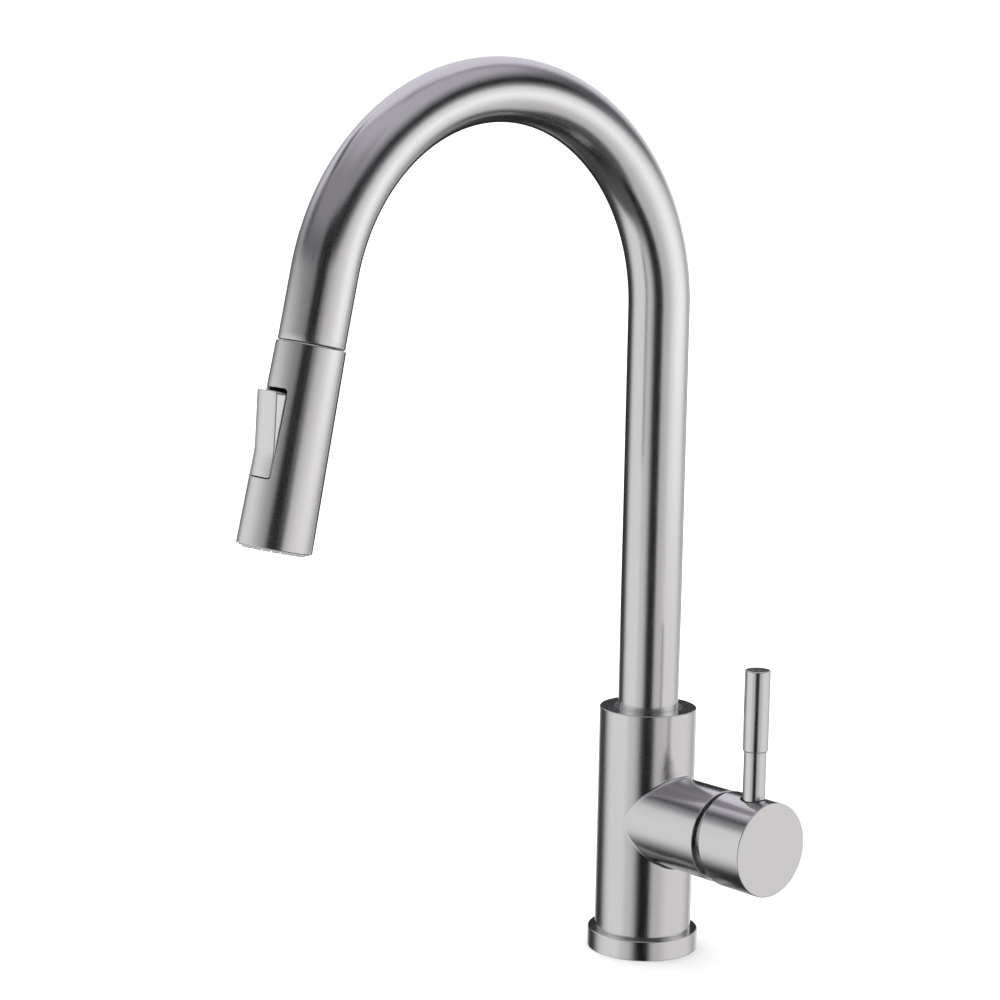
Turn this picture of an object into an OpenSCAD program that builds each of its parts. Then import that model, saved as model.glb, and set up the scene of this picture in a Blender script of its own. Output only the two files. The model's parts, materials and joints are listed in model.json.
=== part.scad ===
// Pull-down kitchen faucet with one side lever and a spray head that docks in the spout.
// Millimetres. The origin is the centre of the base on the deck plane, +Z is up,
// the spout reaches towards -Y and the lever hub sits on the +X side.

/* [Base and body] */
// Outer diameter of the ring that stands on the deck
base_d = 51.5; // [50:0.5:54]
// Height of the base ring
base_h = 9.3; // [8:0.1:11]
// Outer diameter of the upright body
body_d = 45; // [44:0.5:47]
// Height of the body's flat top above the deck
body_top = 115; // [112:1:125]
// Diameter of the sideways boss that holds the cartridge
boss_d = 42; // [41:0.5:43]
// Height of the boss axis above the deck
boss_z = 64; // [60:1:66]
// Distance from the body axis to the boss face
boss_reach = 51.5; // [50:0.5:56]

/* [Spout] */
// Outer diameter of the spout tube
tube_d = 28; // [27:0.5:28.5]
// Wall thickness of the spout tube
tube_wall = 1.2; // [1:0.1:1.4]
// Height at which the tube starts to bend
riser_h = 300.8; // [240:1:340]
// Centreline radius of the bend
bend_r = 96.4; // [80:1:120]
// Angle that the tube turns through
bend_angle = 167.6; // [150:1:180]
// Straight length of tube after the bend
leg_len = 30; // [29:0.5:34]

/* [Lever] */
// Diameter of the lever hub
hub_d = 43; // [42.5:0.5:45]
// Distance from the body axis to the hub's flat front face
hub_face = 80.7; // [79:0.1:84]
// Gap between boss and hub, measured on the hub axis
hub_gap = 5.1; // [4.8:0.1:6]
// Tilt of the hub's rear rim, which leaves room to open the valve
rim_tilt = 6.3; // [6:0.1:8]
// Distance from the body axis to the lever
lever_x = 69.2; // [68:0.1:70]
// Diameter of the lever below its grip
lever_d = 10.2; // [9:0.1:11]
// Diameter of the grip
grip_d = 11.5; // [11.2:0.1:14]
// Height of the grip's lower end above the deck
grip_z = 107.5; // [100:0.5:115]
// Height of the lever's top above the deck
lever_top = 144.2; // [140:0.5:170]

/* [Spray head] */
// Diameter of the head where it meets the spout
head_top_d = 29.1; // [28.8:0.1:30]
// Diameter of the head's lower rim
head_low_d = 31.5; // [31.5:0.1:34]
// Length of the metal shell
head_len = 84.2; // [84:0.2:90]
// Width of the rocker button
button_w = 13.6; // [13:0.1:14]
// Length of the rocker button
button_len = 35; // [34:0.5:37]
// Height that the rocker's upper end stands proud of the shell
button_rise = 3; // [2:0.1:3.5]
// Number of nozzles in the inner ring
inner_nozzles = 14; // [8:1:16]
// Number of nozzles in the outer ring
outer_nozzles = 20; // [12:1:24]

/* [Hidden] */

$fn = 96;
over = 1;          // how far a cutter runs past a face
running = 0.05;    // radial clearance of a pin or shaft that turns
loose = 0.3;       // gap between parts that pass each other
nickel = "silver";
brass = "goldenrod";
plastic = "dimgray";
white_plastic = "whitesmoke";
rubber = "#222222";
ceramic = "ivory";

// Deck side of the body
spigot_r = 21;
shank_r = 15.69;       // minor radius of an M33 x 1.5 thread
shank_depth = 10;
socket_r = 4.46;       // minor radius of an M10 x 1 thread
socket_depth = 12;
drill_r = 2.75;
inlet_at = [5.6, 9];   // sockets of the hot and cold supplies, mirrored in Y
outlet_x = 10.6;       // socket of the mixed outlet
hose_exit_x = -7.5;    // where the hose crosses the deck plane
passage_r = 8;

// Swivel bearing in the top of the body
bore_r = 16;
bore_floor = 86;
washer_t = 1.5;
tube_foot = bore_floor + washer_t;
lower_bush_h = 10;
lower_bush_z = tube_foot + 0.5;
snap_z = lower_bush_z + lower_bush_h + 1.5;
snap_t = 1.2;
groove_depth = 0.6;
ring_h = 3.5;
upper_bush_z = snap_z + snap_t + 0.3;
upper_bush_h = body_top - ring_h - upper_bush_z;

// Spout
tube_r = tube_d / 2;
tube_in = tube_r - tube_wall;
lap = 0.5;
arc_y = -bend_r * (1 - cos(bend_angle));
arc_z = riser_h + bend_r * sin(bend_angle);

// Hose and its end, measured along the leg from the end of the bend
hose_r = 6.5;
hose_in = 4;
hose_end = 12;
knee = 1.5;            // where the straight stretches end inside the knee
hose_lean = atan2(-hose_exit_x, tube_foot);
tail_r = 5;
flange_at = 17;
flange_t = 2;
nut_at = 13.5;
nut_len = 11.5;
nut_r = 9.2;
nipple_at = flange_at + flange_t + 1.5;
nipple_r = 6.9;

// Cartridge, measured along the boss axis from the body axis
seat_x = 19;
cart_bore_r = 17.7;
cart_r = 17.5;
base_t = 5;
disc_x = seat_x + base_t;
disc_t = 4;
fixed_r = 13.6;
moving_r = 10.5;
moving_drop = 1.9;     // how far the moving disc sits below centre when shut
carrier_t = 4;
housing_in = 14;
neck_x = 42;
neck_r = 14.5;
neck_in = 12.5;
neck_end = 50;
rotor_x = 36.4;
pivot_x = 45;
pin_r = 2;
slot_w = 8.4;
ball_x = 35.6;
ball_r = 2.9;
ball_gap = 0.4;        // play of the ball in the disc carrier
port_y = 8;
inlet_rise = 3.2;
outlet_drop = 7.5;

// Hub
hub_r = hub_d / 2;
hub_wall = 2.2;
rim_x = boss_reach + hub_gap;
front_t = 4;
socket_x = 61;
stem_w = 8;
cap_r = 18.4;
screw_r = 2.4;
plug_r = 3.4;

// Spray head, measured along the leg from the end of the bend
head_at = leg_len + loose;
head_end = head_at + head_len;
head_in = 13.2;
collar_t = 2.7;
rebate_r = 14.6;
rebate_at = head_end - 4.6;
inlet_flange_at = head_at + collar_t;
core_at = inlet_flange_at + 3;
core_end = head_end - 7;
core_r = 12.9;
button_at = head_at + 21.3;
button_end = button_at + button_len;
kink_at = head_at + 48;
button_gap = 0.4;
press_gap = 1.3;       // room above the rocker for its swing
button_low = 10.2;     // inner side of the rocker's plate
toggle_s = head_at + 39.7;
toggle_y = 8.6;
toggle_r = 1.25;
plunger_s = head_at + 25.7;
plunger_r = 3;
aerator_r = 6.3;
nozzle_r = 0.95;
nozzle_rings = [[9, inner_nozzles], [12.2, outer_nozzles]];

// A tube of the given radii and height, standing on z = 0
module pipe(r_out, r_in, h) {
    difference() {
        cylinder(r = r_out, h = h);
        translate([0, 0, -over]) cylinder(r = r_in, h = h + 2 * over);
    }
}

// A rectangle with round corners, centred
module round_rect(w, h, r) {
    square([w - 2 * r, h], center = true);
    square([w, h - 2 * r], center = true);
    for (x = [-1, 1], y = [-1, 1])
        translate([x * (w / 2 - r), y * (h / 2 - r)]) circle(r);
}

// Boss frame: local z runs along +X, local x points down, local y along +Y
module on_boss(x = 0) {
    translate([x, 0, boss_z]) rotate([0, 90, 0]) children();
}

// Leg frame: local z runs down the leg, local y points away from the riser
module on_leg(s = 0) {
    translate([0, arc_y, arc_z]) rotate([bend_angle, 0, 0]) translate([0, 0, s]) children();
}

// Turns an extrusion made upwards into one that runs along local +y of the leg frame
module outward() {
    rotate([-90, 0, 0]) children();
}

// The tube's route: riser, bend and leg. The leg laps the bend by a hair and is wider by
// swell, so that the two always join in one wall.
module route(r, foot, end, swell = 0.02) {
    translate([0, 0, foot]) cylinder(r = r, h = riser_h - foot);
    translate([0, -bend_r, riser_h]) rotate([90, 0, 90])
        rotate_extrude(angle = bend_angle) translate([bend_r, 0]) circle(r);
    on_leg(-lap) cylinder(r = r + swell, h = end + lap);
}

// Straight slanted stretch of the hose through the body, up to its knee
module hose_stretch(r, from, short = 0) {
    translate([hose_exit_x, 0, 0]) rotate([0, hose_lean, 0])
        translate([0, 0, from]) cylinder(r = r, h = tube_foot / cos(hose_lean) - from - short);
}

// ---- Body and base ----

module supply_drilling(side) {
    translate([inlet_at[0], side * inlet_at[1], shank_depth - over])
        cylinder(r = socket_r, h = socket_depth + over);
    translate([inlet_at[0], side * inlet_at[1], shank_depth])
        cylinder(r = drill_r, h = boss_z + inlet_rise - shank_depth);
    on_boss(inlet_at[0]) translate([-inlet_rise, side * port_y, 0])
        cylinder(r = drill_r, h = seat_x - inlet_at[0] + over);
}

module outlet_drilling() {
    translate([outlet_x, 0, shank_depth - over]) cylinder(r = socket_r, h = socket_depth + over);
    translate([outlet_x, 0, shank_depth])
        cylinder(r = drill_r, h = boss_z - outlet_drop - shank_depth);
    on_boss(outlet_x) translate([outlet_drop, 0, 0])
        cylinder(r = drill_r, h = seat_x - outlet_x + over);
}

module valve_body() {
    color(nickel) difference() {
        union() {
            cylinder(r = spigot_r, h = base_h);
            translate([0, 0, base_h]) cylinder(r = body_d / 2, h = body_top - base_h);
            on_boss() cylinder(r = boss_d / 2, h = boss_reach);
        }
        translate([0, 0, -over]) cylinder(r = shank_r, h = shank_depth + over);
        translate([0, 0, bore_floor]) cylinder(r = bore_r, h = body_top);
        hose_stretch(passage_r, -over);
        on_boss(seat_x) cylinder(r = cart_bore_r, h = boss_reach);
        for (side = [-1, 1]) supply_drilling(side);
        outlet_drilling();
    }
}

module base_ring() {
    color(nickel) difference() {
        pipe(base_d / 2, spigot_r + running, base_h);
        translate([0, 0, -over]) pipe(base_d / 2 - 1.1, spigot_r + 1, over + 2);
    }
}

module base_gasket() {
    color(rubber) pipe(base_d / 2 - 1.1, spigot_r + 1, 2);
}

// ---- Spout and its swivel ----

module retaining_ring() {
    color(nickel) translate([0, 0, body_top - ring_h])
        pipe(bore_r, tube_r + 2 * running, ring_h);
}

module upper_bush() {
    color(white_plastic) translate([0, 0, upper_bush_z])
        pipe(bore_r, tube_r + running, upper_bush_h);
}

module lower_bush() {
    color(white_plastic) translate([0, 0, lower_bush_z])
        pipe(bore_r, tube_r + running, lower_bush_h);
}

module thrust_washer() {
    color(white_plastic) translate([0, 0, bore_floor])
        pipe(bore_r, tube_in - 1.5, washer_t - running);
}

module spout_tube() {
    color(nickel) difference() {
        route(tube_r, tube_foot, leg_len);
        route(tube_in, tube_foot - over, leg_len + over, -0.02);
        translate([0, 0, snap_z]) pipe(tube_r + over, tube_r - groove_depth, snap_t);
    }
}

module snap_ring() {
    color("gray") translate([0, 0, snap_z]) difference() {
        pipe(bore_r - 0.4, tube_r - groove_depth, snap_t);
        translate([0, tube_r, snap_t / 2]) cube([5, tube_r, 2 * snap_t], center = true);
    }
}

module docking_collar() {
    color(plastic) on_leg(hose_end + 1) difference() {
        cylinder(r = tube_in - running, h = leg_len - hose_end - 1.5);
        translate([0, 0, -over]) cylinder(r = nut_r + loose, h = leg_len);
        translate([0, 0, leg_len - hose_end - 3])
            cylinder(r1 = nut_r + loose, r2 = tube_in - 1, h = 1.6);
    }
}

module pull_hose() {
    color(rubber) difference() {
        union() {
            hose_stretch(hose_r, shank_depth + over, knee);
            translate([0, 0, tube_foot]) sphere(r = hose_r + 0.4);
            route(hose_r, tube_foot + knee, hose_end);
        }
        on_leg(-over) cylinder(r = hose_in + running, h = hose_end + 2 * over);
    }
}

// ---- Cartridge ----

// Cuts the three water ports in the boss frame
module port_holes(r, h) {
    for (side = [-1, 1]) translate([-inlet_rise, side * port_y, -over]) cylinder(r = r, h = h);
    translate([outlet_drop, 0, -over]) cylinder(r = r, h = h);
}

module cartridge_base() {
    color(plastic) on_boss(seat_x) difference() {
        cylinder(r = cart_r, h = base_t);
        port_holes(drill_r, base_t + 2 * over);
        port_holes(drill_r + 1.6, over + 1.5);
    }
}

module port_seals() {
    color(rubber) on_boss(seat_x) {
        for (side = [-1, 1]) translate([-inlet_rise, side * port_y, 0])
            pipe(drill_r + 1.6, drill_r, 1.5);
        translate([outlet_drop, 0, 0]) pipe(drill_r + 1.6, drill_r, 1.5);
    }
}

module cartridge_housing() {
    color(plastic) on_boss(disc_x) difference() {
        union() {
            cylinder(r = cart_r, h = neck_x - disc_x);
            cylinder(r = neck_r, h = neck_end - disc_x);
        }
        translate([0, 0, -over]) cylinder(r = housing_in, h = rotor_x - disc_x + over);
        cylinder(r = neck_in, h = neck_end);
    }
}

module fixed_disc() {
    color(ceramic) on_boss(disc_x) difference() {
        cylinder(r = fixed_r, h = disc_t);
        port_holes(drill_r, disc_t + 2 * over);
    }
}

module moving_disc() {
    color(ceramic) on_boss(disc_x + disc_t + running / 2) translate([moving_drop, 0, 0])
        difference() {
            cylinder(r = moving_r, h = disc_t - running);
            translate([0.6, 0, -over]) cylinder(r = 6.8, h = disc_t - 1);
        }
}

module disc_carrier() {
    color(plastic) on_boss(disc_x + 2 * disc_t) translate([moving_drop, 0, 0])
        difference() {
            cylinder(r = moving_r, h = carrier_t - loose);
            translate([-moving_drop, 0, 0.6]) cylinder(r = ball_r + ball_gap, h = carrier_t);
        }
}

module cartridge_rotor() {
    color(white_plastic) on_boss(rotor_x) difference() {
        cylinder(r = neck_in - running, h = neck_end - rotor_x);
        translate([0, 0, (neck_end - rotor_x) / 2])
            cube([16, slot_w, neck_end], center = true);
        translate([0, 0, pivot_x - rotor_x]) rotate([90, 0, 0])
            cylinder(r = pin_r, h = 2 * neck_r, center = true);
    }
}

module pivot_pin() {
    color("gray") on_boss(pivot_x) rotate([90, 0, 0])
        cylinder(r = pin_r, h = 2 * neck_in - 2, center = true);
}

module cartridge_stem() {
    color(brass) on_boss() difference() {
        union() {
            translate([0, 0, ball_x]) sphere(r = ball_r);
            translate([0, 0, ball_x]) cylinder(r = ball_r - 0.3, h = pivot_x - ball_x);
            translate([0, 0, pivot_x]) rotate([90, 0, 0])
                cylinder(r = 4, h = stem_w, center = true);
            translate([-stem_w / 2, -stem_w / 2, pivot_x])
                cube([stem_w, stem_w, hub_face - front_t - pivot_x]);
        }
        translate([0, 0, pivot_x]) rotate([90, 0, 0])
            cylinder(r = pin_r + running, h = 2 * stem_w, center = true);
    }
}

module retaining_nut() {
    color(brass) on_boss(neck_x) difference() {
        pipe(cart_bore_r, neck_r + running, neck_end - neck_x);
        for (turn = [0 : 90 : 270]) rotate(turn)
            translate([neck_r + 2, 0, neck_end - neck_x]) cube([6, 3, 4], center = true);
    }
}

module trim_cap() {
    color(nickel) on_boss(neck_end + 0.1) difference() {
        union() {
            cylinder(r = cart_bore_r - running, h = boss_reach - neck_end);
            translate([0, 0, boss_reach - neck_end - 0.1]) cylinder(r1 = cap_r, r2 = 15, h = 3);
        }
        translate([0, 0, -over]) cylinder(r = neck_in, h = boss_reach);
    }
}

// ---- Handle ----

module handle_hub() {
    color(nickel) on_boss() difference() {
        union() {
            difference() {
                translate([0, 0, boss_reach]) cylinder(r = hub_r, h = hub_face - boss_reach);
                cylinder(r = hub_r - hub_wall, h = hub_face - front_t);
            }
            translate([0, 0, socket_x]) cylinder(r = 9, h = hub_face - front_t - socket_x);
            translate([0, 0, lever_x]) rotate([0, 90, 0])
                cylinder(r = lever_d / 2 + 2, h = 2 * hub_r - 4, center = true);
        }
        // oblique rear rim
        translate([0, 0, rim_x]) rotate([0, -rim_tilt, 0]) translate([0, 0, -hub_d])
            cube(2 * hub_d, center = true);
        // square socket for the cartridge stem
        translate([-stem_w / 2 - running, -stem_w / 2 - running, 0])
            cube([stem_w + 2 * running, stem_w + 2 * running, hub_face - front_t]);
        // lever thread above and grub screw thread below
        translate([-hub_r - over, 0, lever_x]) rotate([0, 90, 0]) cylinder(r = 4, h = hub_r - 6);
        translate([0, 0, lever_x]) rotate([0, 90, 0]) cylinder(r = screw_r, h = hub_r + over);
        translate([hub_r - 4, 0, lever_x]) rotate([0, 90, 0]) cylinder(r = plug_r, h = 5);
    }
}

module lever_stem() {
    color(nickel) translate([lever_x, 0, boss_z]) difference() {
        union() {
            translate([0, 0, 9]) cylinder(r = 4, h = hub_r);
            cylinder(r = lever_d / 2, h = grip_z - boss_z);
            cylinder(r = lever_d / 2 - 1.4, h = lever_top - boss_z - 4);
        }
        // saddle that meets the hub's round side
        rotate([0, 90, 0]) difference() {
            cylinder(r = hub_r, h = 2 * lever_d, center = true);
            rotate([0, -90, 0]) cylinder(r = 4, h = hub_d);
        }
        cylinder(r = lever_d, h = 9);
    }
}

module lever_grip() {
    color(nickel) translate([lever_x, 0, grip_z]) difference() {
        cylinder(r = grip_d / 2, h = lever_top - grip_z);
        translate([0, 0, -over]) cylinder(r = lever_d / 2 - 1.4, h = lever_top - grip_z - 4 + over);
    }
}

module set_screw() {
    color("gray") translate([lever_x, 0, boss_z - stem_w / 2 - 12]) difference() {
        cylinder(r = screw_r, h = 12);
        translate([0, 0, -over]) cylinder(r = 1.4, h = 3 + over, $fn = 6);
    }
}

module screw_plug() {
    color(nickel) translate([lever_x, 0, boss_z - hub_r + 0.5]) cylinder(r = plug_r, h = 3.5);
}

// ---- Hose end ----

module hose_ferrule() {
    color(brass) on_leg(1) difference() {
        cylinder(r = 7.6, h = hose_end);
        translate([0, 0, -over]) cylinder(r = hose_r + 2 * running, h = hose_end);
        cylinder(r = tail_r, h = hose_end + over);
    }
}

module hose_tail() {
    color(brass) on_leg() difference() {
        union() {
            cylinder(r = hose_in, h = hose_end + 1);
            translate([0, 0, hose_end]) cylinder(r = tail_r, h = flange_at - hose_end);
            translate([0, 0, flange_at]) cylinder(r = 6.5, h = flange_t);
        }
        translate([0, 0, -over]) cylinder(r = 3, h = nipple_at);
    }
}

module hose_nut() {
    color(brass) on_leg(nut_at) difference() {
        cylinder(r = nut_r, h = nut_len);
        translate([0, 0, -over]) cylinder(r = tail_r + running, h = nut_len);
        translate([0, 0, flange_at - nut_at - 0.1]) cylinder(r = nipple_r, h = nut_len);
    }
}

module hose_washer() {
    color(rubber) on_leg(flange_at + flange_t + running)
        pipe(6.3, 3.2, nipple_at - flange_at - flange_t - running);
}

// ---- Spray head ----

module head_inlet() {
    color(white_plastic) on_leg() difference() {
        union() {
            translate([0, 0, nipple_at]) cylinder(r = nipple_r, h = core_at - nipple_at);
            translate([0, 0, nut_at + nut_len])
                cylinder(r = nut_r, h = inlet_flange_at - nut_at - nut_len);
            translate([0, 0, inlet_flange_at]) cylinder(r = core_r, h = core_at - inlet_flange_at);
        }
        translate([0, 0, nipple_at - over]) cylinder(r = 4.6, h = core_at);
    }
}

module check_valve() {
    color("steelblue") on_leg(core_at) pipe(6.6, 3, 12);
}

module shell_cone(cut = 0) {
    cylinder(r1 = head_top_d / 2 - cut, r2 = head_low_d / 2 - cut, h = head_len);
}

module spray_shell() {
    color(nickel) on_leg(head_at) difference() {
        shell_cone();
        translate([0, 0, -over]) cylinder(r = nut_r + running, h = head_len);
        translate([0, 0, collar_t]) cylinder(r = head_in, h = head_len);
        translate([0, 0, rebate_at - head_at]) cylinder(r = rebate_r, h = head_len);
        // window for the rocker
        translate([0, 0, (button_at + button_end - press_gap) / 2 - head_at]) outward()
            linear_extrude(head_low_d) round_rect(button_w + 2 * button_gap,
                button_len + press_gap + 2 * button_gap, 1.6);
    }
}

module toggle_button() {
    color(plastic) on_leg() difference() {
        union() {
            intersection() {
                translate([0, 0, (button_at + button_end) / 2]) outward()
                    linear_extrude(head_low_d) round_rect(button_w, button_len, 1.4);
                union() {
                    translate([0, 0, head_at]) shell_cone();
                    translate([0, head_top_d / 2, kink_at])
                        rotate([atan2(button_rise, kink_at - button_at), 0, 0])
                        translate([0, -head_top_d / 2, button_at - kink_at - 2])
                        cylinder(r = head_top_d / 2, h = kink_at - button_at + 2);
                }
                translate([-button_w, button_low, head_at]) cube([2 * button_w, 20, head_len]);
            }
            translate([0, toggle_y, toggle_s]) rotate([0, 90, 0])
                cylinder(r = 2.6, h = button_w, center = true);
            translate([0, (toggle_y + button_low) / 2 + 0.5, toggle_s])
                cube([button_w, button_low - toggle_y + 1, 5.2], center = true);
        }
        translate([0, toggle_y, toggle_s]) rotate([0, 90, 0])
            cylinder(r = toggle_r + running, h = 2 * button_w, center = true);
    }
}

module toggle_pin() {
    color("gray") on_leg() translate([0, toggle_y, toggle_s]) rotate([0, 90, 0])
        cylinder(r = toggle_r, h = 2 * core_r - 8.6, center = true);
}

module diverter_body() {
    color(white_plastic) on_leg() difference() {
        translate([0, 0, core_at]) cylinder(r = core_r, h = core_end - core_at);
        translate([0, 0, core_at - over]) cylinder(r = 6.6, h = 12 + over);
        // pocket behind the rocker
        translate([-button_w / 2 - 0.4, 5.5, button_at - 2])
            cube([button_w + 0.8, core_r, button_len + 3]);
        translate([0, toggle_y, toggle_s]) rotate([0, 90, 0])
            cylinder(r = toggle_r, h = 2 * core_r, center = true);
        // chamber of the diverter plunger and the water channels around it
        translate([0, -9, plunger_s]) outward() cylinder(r = plunger_r + 0.6, h = 16);
        translate([0, -2, core_at]) cylinder(r = 2, h = plunger_s - core_at);
        translate([0, -4.2, plunger_s]) cylinder(r = 2, h = core_end - plunger_s);
        translate([0, 2.5, plunger_s]) rotate([0, 90, 0]) cylinder(r = 1.9, h = 9.5);
        translate([9.5, 2.5, plunger_s]) cylinder(r = 1.9, h = core_end - plunger_s);
        // stream chamber and ring chamber above the outlet
        translate([0, 0, core_end - 6]) cylinder(r = aerator_r, h = 6 + over);
        translate([0, 0, core_end - 4]) pipe(12.2, aerator_r + 1.2, 4 + over);
    }
}

module diverter_plunger() {
    color("steelblue") on_leg() translate([0, 0, plunger_s]) outward() difference() {
        union() {
            translate([0, 0, -6]) cylinder(r = plunger_r, h = 11);
            cylinder(r = 1.2, h = button_low - loose);
        }
        for (y = [-5, 2.6]) translate([0, 0, y]) pipe(plunger_r + over, plunger_r - 0.7, 1.4);
    }
}

module plunger_seals() {
    color(rubber) on_leg() translate([0, 0, plunger_s]) outward()
        for (y = [-5, 2.6]) translate([0, 0, y]) pipe(plunger_r + 0.5, plunger_r - 0.7, 1.4);
}

// Places one child at every nozzle
module at_nozzles() {
    for (ring = nozzle_rings, i = [0 : ring[1] - 1])
        rotate(i * 360 / ring[1]) translate([ring[0], 0, 0]) children();
}

module nozzle_mat() {
    color(rubber) on_leg(core_end) {
        pipe(core_r, aerator_r, 2.4);
        at_nozzles() cylinder(r = nozzle_r, h = head_end - core_end + 1.3);
    }
}

module spray_face() {
    color(plastic) on_leg(core_end + 2.4) difference() {
        cylinder(r = rebate_r, h = head_end - core_end - 1.8);
        translate([0, 0, -over]) cylinder(r = aerator_r, h = head_len);
        translate([0, 0, -over]) at_nozzles() cylinder(r = nozzle_r, h = head_len);
    }
}

module aerator() {
    color(white_plastic) on_leg(core_end - 3) difference() {
        cylinder(r = aerator_r, h = head_end - core_end + 3.2);
        translate([0, 0, -over]) cylinder(r = aerator_r - 1, h = head_end - core_end + 2.4);
        for (i = [-2 : 2], j = [-2 : 2])
            translate([2 * i, 2 * j, 0]) cube([1.4, 1.4, 2 * head_len], center = true);
    }
}

valve_body();
base_ring();
base_gasket();
retaining_ring();
upper_bush();
lower_bush();
thrust_washer();
spout_tube();
snap_ring();
docking_collar();
pull_hose();
cartridge_base();
port_seals();
cartridge_housing();
fixed_disc();
moving_disc();
disc_carrier();
cartridge_rotor();
pivot_pin();
cartridge_stem();
retaining_nut();
trim_cap();
handle_hub();
lever_stem();
lever_grip();
set_screw();
screw_plug();
hose_ferrule();
hose_tail();
hose_nut();
hose_washer();
head_inlet();
check_valve();
spray_shell();
diverter_body();
diverter_plunger();
plunger_seals();
toggle_button();
toggle_pin();
nozzle_mat();
spray_face();
aerator();
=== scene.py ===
"""Looks of a pull-down kitchen faucet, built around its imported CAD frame.

Everything is in metres in the CAD frame: +Z up, the spout reaches towards -Y and the
lever hub is on the +X side. Outer sizes come from the frame's boxes and joints, and the
rest repeats the part's own. Each visual piece stands for one CAD node, and the CAD nodes
that stay get a finish. The studio at the end is what the metal reflects.
"""
import json
import math

import bmesh
import bpy
import numpy as np
from mathutils import Matrix, Vector


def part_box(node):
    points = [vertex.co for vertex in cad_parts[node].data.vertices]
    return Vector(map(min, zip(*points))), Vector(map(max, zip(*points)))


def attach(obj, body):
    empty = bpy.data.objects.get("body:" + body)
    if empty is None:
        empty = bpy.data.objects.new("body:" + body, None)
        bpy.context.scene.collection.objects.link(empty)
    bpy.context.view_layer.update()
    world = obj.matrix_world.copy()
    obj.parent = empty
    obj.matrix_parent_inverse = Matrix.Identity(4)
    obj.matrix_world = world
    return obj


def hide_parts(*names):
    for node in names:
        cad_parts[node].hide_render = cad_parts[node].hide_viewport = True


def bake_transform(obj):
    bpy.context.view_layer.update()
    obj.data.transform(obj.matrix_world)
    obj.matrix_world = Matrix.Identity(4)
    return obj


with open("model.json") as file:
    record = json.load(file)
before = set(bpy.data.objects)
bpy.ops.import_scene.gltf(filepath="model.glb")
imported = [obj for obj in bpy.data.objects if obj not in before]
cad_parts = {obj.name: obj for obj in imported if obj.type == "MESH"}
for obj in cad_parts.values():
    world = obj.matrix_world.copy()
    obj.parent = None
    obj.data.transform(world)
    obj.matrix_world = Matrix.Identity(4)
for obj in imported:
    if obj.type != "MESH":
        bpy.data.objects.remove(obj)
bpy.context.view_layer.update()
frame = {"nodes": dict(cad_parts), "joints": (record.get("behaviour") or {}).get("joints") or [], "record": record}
joints = {j["name"]: j for j in frame["joints"]}

MM = 0.001
AROUND = 160                # segments around a turned piece
SUPPORT = 0.25 * MM         # a loop this close to an edge keeps the flat beside it flat
SHARP = math.radians(32)    # edges that turn more than this are not smoothed


# ---------------------------------------------------------------- sizes

def low(node, axis):
    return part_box(node)[0][axis]


def high(node, axis):
    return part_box(node)[1][axis]


# base and body
BASE_R = high("base_ring", 0)
BASE_H = high("base_ring", 2)
BODY_R = high("valve_body", 1)
BODY_TOP = high("valve_body", 2)
BOSS_END = high("valve_body", 0)
BOSS_Z = joints["handle_flow"]["pos_m"][2]
BOSS_R = 21 * MM
BOSS_BORE = 17.7 * MM
FILLET = 1.6 * MM           # between the boss and the body
SPIGOT_R = 21 * MM          # foot of the body, inside the base ring
SHANK_R = 15.69 * MM        # thread in the underside, for a mounting shank
SHANK_DEPTH = 10 * MM
TOP_BORE = high("retaining_ring", 0)
TOP_DEPTH = 8 * MM          # as much of that bore as can be seen

# spout: an upright riser, a bend and a short straight leg
TUBE_R = 14 * MM
TUBE_IN = 12.8 * MM
TUBE_FOOT = low("spout_tube", 2)
LEG_DIR = Vector(joints["head_pull"]["axis"]).normalized()
LEG_OUT = LEG_DIR.cross(Vector((1, 0, 0)))      # away from the riser
HEAD_TOP_POINT = Vector(joints["head_spin"]["pos_m"])
LEG_LEN = 30 * MM
HEAD_AT = 30.3 * MM         # head's top, from the end of the bend
ARC_END = HEAD_TOP_POINT - LEG_DIR * HEAD_AT
BEND_ANGLE = math.acos(LEG_DIR.z)
BEND_R = -ARC_END.y / (1 - math.cos(BEND_ANGLE))
RISER_TOP = ARC_END.z - BEND_R * math.sin(BEND_ANGLE)
BEND_END = RISER_TOP + BEND_R * BEND_ANGLE      # along the tube, from the deck

# hub and lever
HUB_R = high("handle_hub", 1)
HUB_FACE = high("handle_hub", 0)
HUB_WALL = 2.2 * MM
HUB_FRONT = 4 * MM          # thickness of its face
RIM_TILT = math.radians(6.3)
RIM_X = BOSS_END + 5.1 * MM
CORE_R = 9 * MM             # core inside the hub that holds the valve's stem
CORE_BORE = 5.8 * MM        # round here, where the part's socket is square
CORE_X = 61 * MM            # its end towards the boss
LEVER_X = (low("lever_grip", 0) + high("lever_grip", 0)) / 2
LEVER_R = (high("lever_stem", 0) - low("lever_stem", 0)) / 2
GRIP_R = (high("lever_grip", 0) - low("lever_grip", 0)) / 2
GRIP_LOW = low("lever_grip", 2)
LEVER_TOP = high("lever_grip", 2)
LEVER_WELL = 6.1 * MM       # hole in the hub that the lever stands in
LEVER_PIN = 4 * MM          # thin end of the lever, screwed into the hub
PIN_LOW, PIN_HIGH = 9 * MM, 18.5 * MM           # its ends, above the boss axis
GRIP_WALL = 1.4 * MM        # the grip's lower edge, round the thinner neck inside it
PLUG_HOLE = 3.45 * MM       # over the grub screw, on the underside of the hub

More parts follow.
